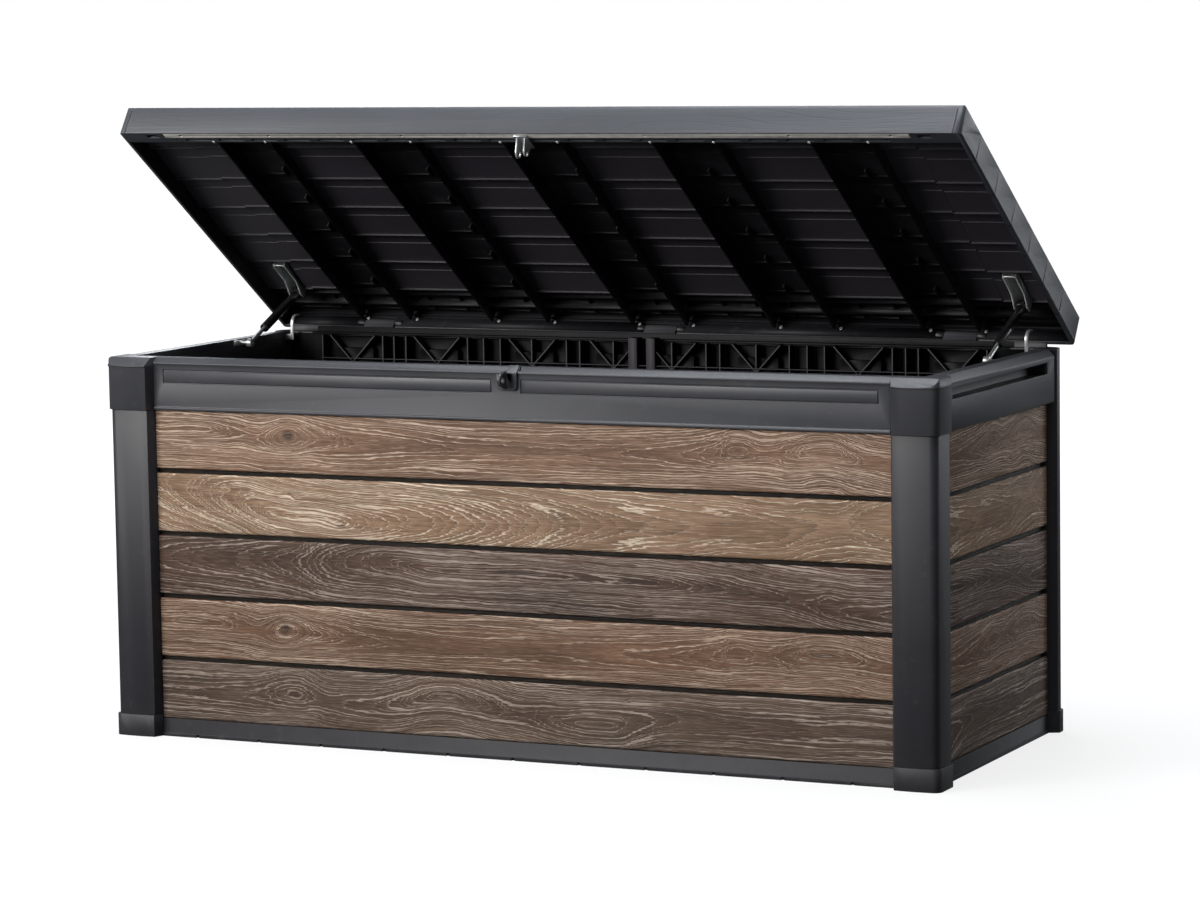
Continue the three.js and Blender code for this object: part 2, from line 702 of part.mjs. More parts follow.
// A channel on each side of the lid's underside. The strut's upper end turns between its flanges.
function strutChannel(s) {
  const web = 686.5;
  const inner = 10.5;
  const wall = 2;
  const low = lidPivotZ - 6;
  const long = 86;
  const flange = [
    [lidPivotY + 8, web + 1], [lidPivotY + 8, lidPivotZ],
    ...arc(lidPivotY, lidPivotZ, 7, 0, -110, 6),
    [lidPivotY - 34, web - 10], [lidPivotY - long, web - 8], [lidPivotY - long, web + 1],
  ];
  const parts = [box(s * strutX - inner - wall, s * strutX + inner + wall,
    lidPivotY - long, lidPivotY + 8, web, web + 2)];
  for (const side of [-1, 1]) {
    const a = s * strutX + side * inner;
    const b = s * strutX + side * (inner + wall);
    parts.push(prism('x', flange, Math.min(a, b), Math.max(a, b)));
  }
  const pinHalf = inner + 1;
  parts.push(round('x', lidPivotY, lidPivotZ, 3, s * strutX - pinHalf, s * strutX + pinHalf, 12));
  return join(parts).intersect(box(-800, 800, -400, 400, low - 2, 800));
}
place(lidClosed, 'strut_channel_left', strutChannel(-1), zinc());
place(lidClosed, 'strut_channel_right', strutChannel(1), zinc());

// ---- gas struts, drawn along +Y from the lower pivot and turned into place ----
const turned = (y, z) => {
  const angle = THREE.MathUtils.degToRad(lidOpen);
  const dy = y - hingeY;
  const dz = z - hingeZ;
  return [
    hingeY + dy * Math.cos(angle) + dz * Math.sin(angle),
    hingeZ - dy * Math.sin(angle) + dz * Math.cos(angle),
  ];
};
const [upperY, upperZ] = turned(lidPivotY, lidPivotZ);
const strutLength = Math.hypot(upperY - studY, upperZ - studZ + 1);
const strutAngle = Math.atan2(upperZ - studZ + 1, upperY - studY);

function strutTube(s) {
  const x = s * strutX;
  const eyeOuter = 10.5;
  const barrelEnd = strutLength - eyeOuter + 2;
  const barrel = round('y', x, 0, strutRadius, tubeStart, barrelEnd, 16);
  const ring = round('x', strutLength, 0, eyeOuter, x - 5, x + 5, 16);
  const bore = round('y', x, 0, rodRadius + 0.5, tubeStart - 1, rodLength + 40, 12);
  const eye = round('x', strutLength, 0, 8, x - 7, x + 7, 16);
  return barrel.add(ring).subtract(bore).subtract(eye);
}

function strutRod(s) {
  const x = s * strutX;
  const rod = round('y', x, 0, rodRadius, 5, rodLength, 10);
  const socket = round('x', 0, 0, 7.5, x - 5, x + 5, 16);
  return rod.add(socket).subtract(round('x', 0, 0, 3.5, x - 7, x + 7, 12));
}

const struts = new THREE.Group();
struts.position.set(0, studY, studZ - 1);
struts.rotation.x = strutAngle;
model.add(struts);
for (const [name, s] of [['left', -1], ['right', 1]]) {
  place(struts, `strut_tube_${name}`, strutTube(s), enamel());
  place(struts, `strut_rod_${name}`, strutRod(s), zinc());
}

export default model;
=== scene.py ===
import json
import math

import bmesh
import bpy
from mathutils import Matrix, Vector


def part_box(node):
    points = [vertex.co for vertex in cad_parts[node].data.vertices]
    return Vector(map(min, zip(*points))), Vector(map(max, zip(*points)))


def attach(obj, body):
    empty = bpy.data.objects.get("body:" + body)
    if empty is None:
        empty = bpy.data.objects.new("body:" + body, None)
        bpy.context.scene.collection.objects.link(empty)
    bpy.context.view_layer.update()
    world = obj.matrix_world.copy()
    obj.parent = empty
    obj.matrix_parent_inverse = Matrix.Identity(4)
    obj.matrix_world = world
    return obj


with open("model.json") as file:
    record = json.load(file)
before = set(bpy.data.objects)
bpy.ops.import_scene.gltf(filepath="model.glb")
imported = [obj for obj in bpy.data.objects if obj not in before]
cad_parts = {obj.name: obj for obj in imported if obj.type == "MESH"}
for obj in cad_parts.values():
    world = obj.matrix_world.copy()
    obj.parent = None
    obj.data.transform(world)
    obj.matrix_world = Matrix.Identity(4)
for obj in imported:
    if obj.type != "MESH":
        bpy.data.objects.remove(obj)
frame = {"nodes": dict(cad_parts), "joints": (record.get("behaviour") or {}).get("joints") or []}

scene = bpy.context.scene
nodes = frame["nodes"]
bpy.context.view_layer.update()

# ---- camera ----
CAMERA_PLACE = (2.9893, -6.2467, 1.2381)
CAMERA_AZIMUTH = math.radians(25.35)
CAMERA_PITCH = math.radians(6.25)
CAMERA_ROLL = math.radians(-0.88)
CAMERA_LENS = 123.4       # in mm, on a film of the width below
FILM_WIDTH = 36
FAR_END = 300


def make_camera():
    """A long lens at the photograph's angle."""
    data = bpy.data.cameras.new("camera")
    data.lens = CAMERA_LENS
    data.sensor_width = FILM_WIDTH
    data.clip_end = FAR_END
    camera = bpy.data.objects.new("camera", data)
    scene.collection.objects.link(camera)
    flat = math.cos(CAMERA_PITCH)
    forward = Vector((
        -math.sin(CAMERA_AZIMUTH) * flat,
        math.cos(CAMERA_AZIMUTH) * flat,
        -math.sin(CAMERA_PITCH),
    ))
    right = forward.cross(Vector((0, 0, 1))).normalized()
    up = right.cross(forward)
    turned_right = right * math.cos(CAMERA_ROLL) + up * math.sin(CAMERA_ROLL)
    turned_up = up * math.cos(CAMERA_ROLL) - right * math.sin(CAMERA_ROLL)
    axes = Matrix((turned_right, turned_up, -forward)).transposed()
    camera.matrix_world = Matrix.Translation(CAMERA_PLACE) @ axes.to_4x4()
    scene.camera = camera


make_camera()


# ---- studio ----
SKY_LIGHT = 0.20          # soft light from above the horizon
GROUND_LIGHT = 0.11       # and from below it
GROUND_END = -0.08        # height on the sky's ball where the light from below starts to give way
SKY_START = 0.04          # and where the light from above is full
SKY_TINT = (0.95, 0.97, 1.0, 1)
BACKDROP = (1, 1, 1, 1)   # what the camera sees behind the box
WHITE = (1.0, 0.985, 0.96)
COOL = (0.91, 0.955, 1.0)
LIGHTS = {                # place, target, size, power, colour
    "key": ((-4.0, -5.2, 2.7), (0, 0, 0.35), (3.4, 2.8), 420, WHITE),
    "top": ((-0.4, -0.3, 4.8), (0, 0, 0.4), (4.2, 2.4), 260, COOL),
    "side": ((3.7, 4.6, 1.9), (0, 0, 0.4), (2.4, 2.2), 75, COOL),
    "rear": ((-2.4, 5.4, 3.6), (0, 0, 0.4), (3.2, 2.4), 200, COOL),
}


def make_world():
    """A soft sky that lights the box, and a plain white backdrop that only the camera sees."""
    scene.view_settings.view_transform = "Standard"
    world = bpy.data.worlds.new("studio")
    scene.world = world
    world.use_nodes = True
    tree = world.node_tree
    tree.nodes.clear()
    place = tree.nodes.new("ShaderNodeTexCoord")
    split = tree.nodes.new("ShaderNodeSeparateXYZ")
    level = tree.nodes.new("ShaderNodeMapRange")
    level.inputs["From Min"].default_value = GROUND_END
    level.inputs["From Max"].default_value = SKY_START
    level.inputs["To Min"].default_value = GROUND_LIGHT
    level.inputs["To Max"].default_value = SKY_LIGHT
    light = tree.nodes.new("ShaderNodeBackground")
    seen = tree.nodes.new("ShaderNodeBackground")
    rays = tree.nodes.new("ShaderNodeLightPath")
    choose = tree.nodes.new("ShaderNodeMixShader")
    out = tree.nodes.new("ShaderNodeOutputWorld")
    tree.links.new(place.outputs["Generated"], split.inputs[0])
    tree.links.new(split.outputs["Z"], level.inputs["Value"])
    tree.links.new(level.outputs[0], light.inputs["Strength"])
    tree.links.new(rays.outputs["Is Camera Ray"], choose.inputs[0])
    tree.links.new(light.outputs[0], choose.inputs[1])
    tree.links.new(seen.outputs[0], choose.inputs[2])
    tree.links.new(choose.outputs[0], out.inputs[0])
    light.inputs["Color"].default_value = SKY_TINT
    seen.inputs["Color"].default_value = BACKDROP


def make_lights():
    for name, (place, target, size, power, colour) in LIGHTS.items():
        data = bpy.data.lights.new(name, "AREA")
        data.shape = "RECTANGLE"
        data.size, data.size_y = size
        data.energy = power
        data.color = colour
        light = bpy.data.objects.new(name, data)
        scene.collection.objects.link(light)
        light.location = place
        aim = Vector(target) - Vector(place)
        light.rotation_euler = aim.to_track_quat("-Z", "Y").to_euler()


make_world()
make_lights()


# ---- material building ----
NOISE_LOW = 0.3           # between these two lie most of a noise's values
NOISE_HIGH = 0.7


class Graph:
    """A material's node tree, with short calls for the nodes that the materials here use."""

    def __init__(self, name):
        self.material = bpy.data.materials.new(name)
        self.material.use_nodes = True
        self.tree = self.material.node_tree
        self.shader = self.tree.nodes["Principled BSDF"]

    def put(self, socket, value):
        if hasattr(value, "is_linked"):
            self.tree.links.new(value, socket)
        elif value is not None:
            socket.default_value = value

    def math(self, operation, a, b=None, c=None, clamp=False):
        node = self.tree.nodes.new("ShaderNodeMath")
        node.operation = operation
        node.use_clamp = clamp
        for socket, value in zip(node.inputs, (a, b, c)):
            self.put(socket, value)
        return node.outputs[0]

    def add(self, a, b):
        return self.math("ADD", a, b)

    def minus(self, a, b):
        return self.math("SUBTRACT", a, b)

    def times(self, a, b):
        return self.math("MULTIPLY", a, b)

    def over(self, a, b):
        return self.math("DIVIDE", a, b)

    def length(self, a, b):
        return self.math("SQRT", self.add(self.times(a, a), self.times(b, b)))

    def coords(self):
        place = self.tree.nodes.new("ShaderNodeTexCoord")
        split = self.tree.nodes.new("ShaderNodeSeparateXYZ")
        self.tree.links.new(place.outputs["Object"], split.inputs[0])
        return split.outputs[0], split.outputs[1], split.outputs[2]

    def vector(self, x, y, z):
        node = self.tree.nodes.new("ShaderNodeCombineXYZ")
        for socket, value in zip(node.inputs, (x, y, z)):
            self.put(socket, value)
        return node.outputs[0]

    def noise(self, vector, detail=2.0, roughness=0.5, scale=1.0):
        node = self.tree.nodes.new("ShaderNodeTexNoise")
        node.inputs["Scale"].default_value = scale
        node.inputs["Detail"].default_value = detail
        node.inputs["Roughness"].default_value = roughness
        self.tree.links.new(vector, node.inputs["Vector"])
        return node.outputs[0]

    def stretched(self, u, v, seed, rate_u, rate_v, detail=2.0, roughness=0.5):
        along = self.times(u, rate_u)
        across = self.times(v, rate_v)
        return self.noise(self.vector(along, across, seed), detail, roughness)

    def span(self, value, low, high, to_low=0.0, to_high=1.0, smooth=False):
        node = self.tree.nodes.new("ShaderNodeMapRange")
        node.interpolation_type = "SMOOTHSTEP" if smooth else "LINEAR"
        for socket, entry in zip(node.inputs, (value, low, high, to_low, to_high)):
            self.put(socket, entry)
        return node.outputs[0]

    def vary(self, noise, to_low, to_high):
        """Spreads a noise's usual values from to_low to to_high."""
        return self.span(noise, NOISE_LOW, NOISE_HIGH, to_low, to_high)

    def curve(self, value, points):
        """A smooth curve through the points, which lie between 0 and 1 both ways."""
        node = self.tree.nodes.new("ShaderNodeFloatCurve")
        line = node.mapping.curves[0]
        line.points[0].location = points[0]
        line.points[1].location = points[-1]
        for point in points[1:-1]:
            line.points.new(*point)
        node.mapping.update()
        self.put(node.inputs["Value"], value)
        return node.outputs[0]

    def mix(self, factor, a, b, kind="MIX"):
        node = self.tree.nodes.new("ShaderNodeMix")
        node.data_type = "RGBA"
        node.blend_type = kind
        sockets = [s for s in node.inputs if s.type == "RGBA"]
        self.put(node.inputs[0], factor)
        self.put(sockets[0], a)
        self.put(sockets[1], b)
        return next(s for s in node.outputs if s.type == "RGBA")

    def shade(self, colour, amount):
        """The colour, made lighter or darker by the amount."""
        return self.mix(1.0, colour, self.vector(amount, amount, amount), "MULTIPLY")

    def bump(self, height, distance, strength=1.0, normal=None):
        node = self.tree.nodes.new("ShaderNodeBump")
        node.inputs["Strength"].default_value = strength
        node.inputs["Distance"].default_value = distance
        self.put(node.inputs["Height"], height)
        self.put(node.inputs["Normal"], normal)
        return node.outputs[0]

    def finish(self, colour, roughness, normal=None, metallic=0.0, specular=0.5):
        self.put(self.shader.inputs["Base Color"], colour)
        self.put(self.shader.inputs["Roughness"], roughness)
        self.put(self.shader.inputs["Normal"], normal)
        self.shader.inputs["Metallic"].default_value = metallic
        self.shader.inputs["Specular IOR Level"].default_value = specular
        return self.material


def rgb(red, green, blue):
    return (red, green, blue, 1.0)


# ---- limed oak boards ----
PRINT_HALF = 0.69         # half the length of the grain pattern, which every wall cuts its boards from
MOST_RINGS = 30.0         # how deep below the face the middle of the tree can lie, in growth rings
MOST_RISE = 0.05          # how far the arches can wander up or down the board
PRINT_END = 0.669         # the pattern's place at a wall's right end
TONGUE_RISE = 0.003       # half of what a board's tongue adds to its height
ROW_SEED = 3.1            # between one row's pattern and the next
RING_STEP = 0.004         # over which the rings' slope is taken
LEAST_RADIUS = 0.3        # in rings, so that nothing is divided by zero
GRAIN_WIDTH = (0.0006, 0.0014)     # of a limed line, from faint to bold
LINE_SHARE = (0.015, 0.30)         # of its ring that a line may fill
KNOT_REACH = 4.5          # how far a knot pushes the rings, in its own half sizes
KNOT_CORE = (0.35, 1.15)  # where a knot's dark core starts to fade, and where it ends
WARM_OAK = rgb(0.300, 0.150, 0.085)
KNOT_BROWN = rgb(0.026, 0.021, 0.019)
GAP_SHADE_BLACK = rgb(0.010, 0.007, 0.005)
GAP_SHADE_DEPTH = (0.0018, 0.0042)       # below the face, where a board is painted black as painted shade in its gap
OAK_RELIEF = 0.0008

# Layers of the oak's figure: seed, rates along and across the board per metre, detail, roughness, and the
# part of the noise that is spread over the layer's range.
GRAIN = {
    "jag": (4.7, 14.0, 260.0, 3.0, 0.65, 0.25, 0.75),
    "wave": (2.1, 7.0, 22.0, 3.0, 0.55, 0.2, 0.8),
    "wobble": (6.6, 40.0, 420.0, 2.0, 0.5, 0.2, 0.8),
    "dashes": (1.7, 45.0, 520.0, 2.0, 0.5, 0.38, 0.58),
    "fibre": (3.3, 14.0, 620.0, 3.0, 0.7, 0.3, 0.7),
    "pores": (5.9, 46.0, 1000.0, 1.0, 0.5, 0.58, 0.70),
    "flecks": (6.4, 34.0, 760.0, 1.0, 0.5, 0.60, 0.72),
    "patch": (8.8, 3.0, 22.0, 3.0, 0.62, 0.32, 0.68),
    "warmth": (12.1, 2.1, 9.0, 2.0, 0.5, 0.42, 0.68),
    "speck": (3.9, 120.0, 260.0, 3.0, 0.7, 0.35, 0.65),
}

# Each row: colours, ring pitch, and where the tree's middle runs below the face. A plan entry is a place
# along the board in mm, the depth there in rings, and its height in mm. A knot is its place and height,
# its half length and half height in mm, how dark it is, and how many rings it pushes aside.
BOARD_ROWS = {
    1: dict(mid=rgb(0.275, 0.168, 0.112), dark=rgb(0.105, 0.062, 0.043), lime=rgb(0.78, 0.60, 0.47),
            pitch=0.0030, lime_share=0.86,
            plan=[(-690, 3, 20), (-600, 0.6, 22), (-555, 1.8, 20), (-528, 3.2, 18),
                  (-510, 4.4, 18), (-480, 5, 14), (-450, 4.2, 12), (-411, 3, 14), (-385, 4, 14),
                  (-345, 6, 12), (-300, 8, 8), (-160, 10, 6), (0, 11, 4), (150, 10.5, 6),
                  (300, 9, 10), (375, 6.5, 14), (410, 4.8, 18), (450, 6.2, 16), (500, 3.6, 16),
                  (560, 0.8, 22), (600, 3, 14), (640, 5, 6), (690, 5, 0)],
            knots=[(-411, 17, 13, 11, 1.0, 5.0), (408, 22, 12, 6, 0.45, 1.0)]),
    2: dict(mid=rgb(0.355, 0.232, 0.150), dark=rgb(0.190, 0.118, 0.074), lime=rgb(0.92, 0.77, 0.61),
            pitch=0.0032, lime_share=0.90,
            plan=[(-690, 18, 44), (-650, 16.5, 36), (-530, 8.5, 15), (-400, 0.8, -12),
                  (-350, 0.6, -15), (-300, 3, -20), (-180, 9.5, -18), (0, 17, -14),
                  (100, 21.5, -8), (200, 24, -6), (310, 25.2, -4), (375, 26, 0), (467, 27, -5),
                  (532, 28, 5), (580, 28.3, 10), (620, 27, 18), (690, 25, 20)],
            knots=[(-412, 23, 4.5, 3.5, 0.55, 1.5), (-312, -29, 13, 3.5, 0.75, 1.5)]),
    3: dict(mid=rgb(0.098, 0.064, 0.050), dark=rgb(0.034, 0.023, 0.020), lime=rgb(0.50, 0.41, 0.35),
            pitch=0.0029, lime_share=0.80,
            plan=[(-690, 22.5, 13), (-600, 21, 13), (-530, 20, 14), (-480, 19, 15),
                  (-437, 18, 14), (-392, 16, 14), (-350, 12, 16), (-305, 9, 18), (-250, 6, 22),
                  (-207, 3.5, 22), (-150, 1.2, 17), (-90, 0.4, 15), (0, 0.3, 15), (100, 1.2, 14),
                  (180, 2.8, 12), (287, 4.2, 10), (350, 6, 8), (472, 8.5, -3), (510, 9, -8),
                  (560, 7.5, -15), (612, 6, -20), (690, 4, -22)],
            knots=[(0, 16, 70, 7, 0.75, 0.0), (250, 11, 34, 6, 0.4, 0.0), (564, 10, 8, 5, 0.5, 1.0)]),
    4: dict(mid=rgb(0.198, 0.114, 0.073), dark=rgb(0.076, 0.044, 0.031), lime=rgb(0.65, 0.50, 0.39),
            pitch=0.0030, lime_share=0.82,
            plan=[(-690, 3, 12), (-600, 0.6, 12), (-560, 1.6, 12), (-528, 3, 10), (-505, 4.2, 8),
                  (-480, 5, 4), (-450, 4.2, 2), (-424, 3, 4), (-390, 3.8, 4), (-350, 5.5, 2),
                  (-310, 7, 0), (-280, 8, -2), (-160, 9.5, -4), (0, 10.5, -4), (150, 10.5, -2),
                  (300, 9, 2), (375, 6.5, 4), (400, 5, 8), (450, 6, 8), (500, 3.5, 10),
                  (552, 0.6, 14), (600, 2.5, 10), (640, 4.5, 4), (690, 5, 0)],
            knots=[(-424, 7, 13, 11, 1.0, 5.0), (552, 15, 34, 8, 0.45, 0.0)]),
    5: dict(mid=rgb(0.130, 0.088, 0.064), dark=rgb(0.048, 0.033, 0.028), lime=rgb(0.52, 0.42, 0.35),
            pitch=0.0031, lime_share=0.78,
            plan=[(-690, 9, 0), (-500, 8.5, 0), (-430, 6, 6), (-405, 5.5, 6), (-380, 7, 4),
                  (-342, 8.2, -6), (-310, 7.4, -8), (-252, 6.2, -6), (-200, 4, 2), (-160, 2, 12),
                  (-122, 0.7, 16), (-85, 2, 12), (-40, 4.5, 4), (23, 6.5, -6), (60, 5, -8),
                  (100, 3, -10), (155, 0.6, -11), (200, 3, -10), (215, 5, -6), (240, 6.5, -2),
                  (290, 8, 2), (400, 9, 0), (690, 9.5, 4)],
            knots=[(-408, 6, 20, 9, 0.35, 0.0), (150, -11, 34, 14, 0.12, 0.0)]),
}


class Oak:
    """One board's figure: where a point lies on the printed pattern, and the layers there."""

    def __init__(self, g, u, v, look, seed):
        self.g = g
        self.u = u
        self.v = v
        self.look = look
        self.seed = seed

    def raw(self, name):
        """A layer's noise as it comes."""
        offset, rate_u, rate_v, detail, roughness = GRAIN[name][:-2]
        return self.g.stretched(self.u, self.v, self.seed + offset, rate_u, rate_v, detail, roughness)

    def layer(self, name, to_low=0.0, to_high=1.0):
        """A layer spread from to_low to to_high."""
        low, high = GRAIN[name][-2:]
        return self.g.span(self.raw(name), low, high, to_low, to_high)

    def knots(self):
        """How far the rings are pushed by the knots, and how dark the knots are."""
        g = self.g
        push = 0.0
        core = 0.0
        for place_u, place_v, half_u, half_v, darkness, rings in self.look["knots"]:
            du = g.over(g.minus(self.u, place_u / 1000), half_u / 1000)
            dv = g.over(g.minus(self.v, place_v / 1000), half_v / 1000)
            away = g.length(du, dv)
            if rings:
                push = g.add(push, g.span(away, 0.0, KNOT_REACH, -rings, 0.0, smooth=True))
            core = g.add(core, g.span(away, *KNOT_CORE, darkness, 0.0, smooth=True))
        return push, core

    def ring_field(self):
        """Growth rings cut by the face: their running number, and how many pass per metre."""
        g = self.g
        pitch = self.look["pitch"]
        plan = self.look["plan"]
        shifted = g.add(self.u, self.layer("jag", -0.0070, 0.0070))
        starts = [(entry[0] / 1000 + PRINT_HALF) / (2 * PRINT_HALF) for entry in plan]
        depths = [(start, entry[1] / MOST_RINGS) for start, entry in zip(starts, plan)]
        rises = [(start, 0.5 + entry[2] / 2000 / MOST_RISE) for start, entry in zip(starts, plan)]
        place = g.span(shifted, -PRINT_HALF, PRINT_HALF)
        beyond = g.add(place, RING_STEP / (2 * PRINT_HALF))
        here = g.times(g.curve(place, depths), MOST_RINGS)
        there = g.times(g.curve(beyond, depths), MOST_RINGS)
        unshifted = g.span(self.u, -PRINT_HALF, PRINT_HALF)
        rise = g.span(g.curve(unshifted, rises), 0, 1, -MOST_RISE, MOST_RISE)
        wave = self.layer("wave", -0.0050, 0.0050)
        across = g.over(g.minus(g.add(self.v, wave), rise), pitch)
        away = g.length(across, here)
        near = g.math("MAXIMUM", away, LEAST_RADIUS)
        slope_u = g.times(g.over(g.minus(there, here), RING_STEP), g.over(here, near))
        slope_v = g.over(g.over(across, near), pitch)
        return away, g.length(slope_u, slope_v)

    def uneven(self, rings):
        """The rings, pushed a little closer here and further apart there."""
        g = self.g
        drift = g.noise(g.vector(g.times(rings, 0.45), g.times(self.u, 2.0), self.seed + 7.7), 1.0)
        rings = g.add(rings, g.vary(drift, -0.9, 0.9))
        return g.add(rings, self.layer("wobble", -0.20, 0.20))

    def lime(self, rings, crowding):
        """The limed line of each ring: bold in some rings, faint in others, and broken into dashes."""
        g = self.g
        edge = g.math("PINGPONG", rings, 0.5)
        number = g.math("ROUND", rings)
        ring = g.vector(g.times(number, 7.3), g.times(self.u, 3.5), self.seed + 2.9)
        bold = g.noise(ring, 2.0, 0.6)
        heavy = g.span(bold, 0.34, 0.68, *GRAIN_WIDTH)
        least, most = LINE_SHARE
        width = g.math("MINIMUM", g.math("MAXIMUM", g.times(crowding, heavy), least), most)
        line = g.span(g.over(edge, width), 0.35, 1.0, 1.0, 0.0, smooth=True)
        line = g.times(line, g.add(g.times(self.layer("dashes"), 0.4), 0.6))
        line = g.times(line, g.span(bold, 0.34, 0.56, 0.35, 1.0))
        return g.times(line, g.span(crowding, 12.0, 90.0, 0.35, 1.0))

    def colour(self, rings, line, fibre, pores, core):
        """Dark and middle tones in patches, darker late wood, then pores, lime and knots over them."""
        g = self.g
        look = self.look
        colour = g.mix(self.layer("patch"), look["dark"], look["mid"])
        colour = g.mix(0.36, colour, look["mid"])
        colour = g.mix(g.times(self.layer("warmth"), 0.22), colour, WARM_OAK)
        late = g.span(g.math("FRACT", rings), 0.10, 1.0, 1.14, 0.72)
        colour = g.shade(colour, g.times(late, g.vary(fibre, 0.66, 1.30)))
        colour = g.mix(g.times(pores, 0.42), colour, look["dark"])
        colour = g.mix(g.times(self.layer("flecks"), 0.28 * look["lime_share"]), colour, look["lime"])
        colour = g.mix(g.times(line, look["lime_share"]), colour, look["lime"])
        spotted = g.times(core, self.layer("speck", 0.6, 1.0))
        return g.mix(g.math("MULTIPLY", spotted, 0.82, clamp=True), colour, KNOT_BROWN)


def wood(name, row, axis, sense, shift, middle, face, inward, seed):
    """Embossed oak with limed pores, and painted shade in the gaps between boards. axis is 0 where the
    board runs along X, 1 where it runs along Y.
    """
    g = Graph(name)
    place = g.coords()
    u = g.add(g.times(place[axis], sense), shift)
    v = g.minus(place[2], middle)
    oak = Oak(g, u, v, BOARD_ROWS[row], seed)
    rings, crowding = oak.ring_field()
    push, core = oak.knots()
    rings = oak.uneven(g.add(rings, push))
    line = oak.lime(rings, crowding)
    fibre = oak.raw("fibre")
    pores = oak.layer("pores")
    colour = oak.colour(rings, line, fibre, pores, core)
    depth = g.times(g.minus(place[1 - axis], face), inward)
    # Painted shade: deep in the gap between boards, the wood is painted near black.
    colour = g.mix(g.span(depth, *GAP_SHADE_DEPTH), colour, GAP_SHADE_BLACK)
    height = g.add(g.times(line, 0.55), g.times(fibre, 0.5))
    height = g.minus(height, g.times(pores, 0.45))
    height = g.minus(height, g.times(core, 0.6))
    return g.finish(colour, g.vary(fibre, 0.66, 0.50), g.bump(height, OAK_RELIEF, 0.85), specular=0.18)


# ---- moulded plastics ----
STIPPLE_SCALE = 1400.0
STIPPLE_DEPTH = 0.00012
SCUFF_GREY = rgb(0.20, 0.20, 0.21)
DUST_BROWN = rgb(0.20, 0.175, 0.15)
DUST_TOP = 0.10           # above the ground


def inside(g, place, low, high):
    """1 inside a box, 0 outside it."""
    share = 1.0
    for value, near, far in zip(place, low, high):
        share = g.times(share, g.math("GREATER_THAN", value, near))
        share = g.times(share, g.math("LESS_THAN", value, far))
    return share


def moulded(name, colour, rough, dust=0.0, shade_boxes=(), specular=0.45):
    """Satin plastic: stipple, slow colour drift, faint scuffs, dust near the ground, and near-black painted
    shade in hollows that lie in the dark.
    """
    g = Graph(name)
    x, y, z = g.coords()
    place = g.vector(x, y, z)
    stipple = g.noise(place, 2.0, 0.6, scale=STIPPLE_SCALE)
    drift = g.noise(place, 3.0, 0.55, scale=5.0)
    scuff = g.span(g.noise(place, 4.0, 0.75, scale=46.0), 0.58, 0.75)
    base = g.shade(colour, g.times(g.vary(drift, 0.90, 1.10), g.vary(stipple, 0.94, 1.06)))
    base = g.mix(g.times(scuff, 0.10), base, SCUFF_GREY)
    if dust:
        low = g.span(z, 0.0, DUST_TOP, dust, 0.0)
        patchy = g.span(g.noise(place, 4.0, 0.7, scale=30.0), 0.35, 0.7)
        base = g.mix(g.times(low, patchy), base, DUST_BROWN)
    # Painted shade: each hollow that lies in the dark is painted near black.
    for low, high in shade_boxes:
        base = g.mix(inside(g, (x, y, z), low, high), base, PAINTED_SHADE_BLACK)
    roughness = g.add(g.vary(drift, rough - 0.05, rough + 0.05), g.times(scuff, 0.12))
    return g.finish(base, roughness, g.bump(stipple, STIPPLE_DEPTH, 0.6), specular=specular)


# Where one plank of the lid ends and the next begins, in metres forward of the hinge.
PLANK_LINES = (0.579, 0.477, 0.383, 0.289, 0.197, 0.100)
PLANK_TONES = (1.0, 0.90, 1.08, 0.94, 1.05, 0.91, 1.03)
PLANK_TURN = 0.0005       # half of the length over which one plank's tone turns into the next
SEAM_SHADE_HALF = (0.0012, 0.0042)       # of the painted shade line along the groove between planks: its core, and its soft edge
# Painted shade in the grooves between planks.
SEAM_SHADE_BLACK = rgb(0.012, 0.012, 0.014)
LID_RELIEF = 0.00035


def end_faces(g):
    """1 on faces that look along the lid's length, 0 on the others."""
    faces = g.tree.nodes.new("ShaderNodeNewGeometry")
    split = g.tree.nodes.new("ShaderNodeSeparateXYZ")
    g.tree.links.new(faces.outputs["True Normal"], split.inputs[0])
    return g.span(g.math("ABSOLUTE", split.outputs[0]), 0.6, 0.8)


def lid_coords(g, hinge, angle):
    """Places on the lid: along it, from the hinge towards the rear, and up from its plane."""
    x, y, z = g.coords()
    dy = g.minus(y, hinge[1])
    dz = g.minus(z, hinge[2])
    depth = g.minus(g.times(dy, math.cos(angle)), g.times(dz, math.sin(angle)))
    rise = g.add(g.times(dy, math.sin(angle)), g.times(dz, math.cos(angle)))
    return x, depth, rise


def lid_relief(g, x, depth, rise):
    """A shallow wood grain along each plank, and end grain on the lid's ends."""
    across = g.add(depth, rise)
    grain = g.stretched(x, across, 3.0, 5.0, 330.0, 3.0, 0.62)
    wave = g.stretched(x, across, 5.0, 2.2, 14.0, 1.0)
    rings = g.add(g.times(across, 90.0), g.times(wave, 9.0))
    line = g.span(g.math("PINGPONG", rings, 0.5), 0.0, 0.10, 1.0, 0.0, smooth=True)
    side = g.stretched(depth, rise, 8.0, 9.0, 260.0, 3.0, 0.65)
    end = end_faces(g)
    relief = g.minus(grain, g.times(line, 0.35))
    return g.add(g.times(relief, g.minus(1.0, end)), g.times(side, end))


def plank_marks(g, depth):
    """Each plank's own tone, and 1 on the painted shade along the seams between planks."""
    tone = PLANK_TONES[0]
    seam_shade = 0.0
    for forward, next_tone in zip(PLANK_LINES, PLANK_TONES[1:]):
        beyond = g.add(depth, forward)
        tone = g.add(tone, g.span(beyond, -PLANK_TURN, PLANK_TURN, 0.0, next_tone - PLANK_TONES[0]))
        mark = g.span(g.math("ABSOLUTE", beyond), *SEAM_SHADE_HALF, 1.0, 0.0, smooth=True)
        seam_shade = g.math("MAXIMUM", seam_shade, mark)
    return tone, seam_shade


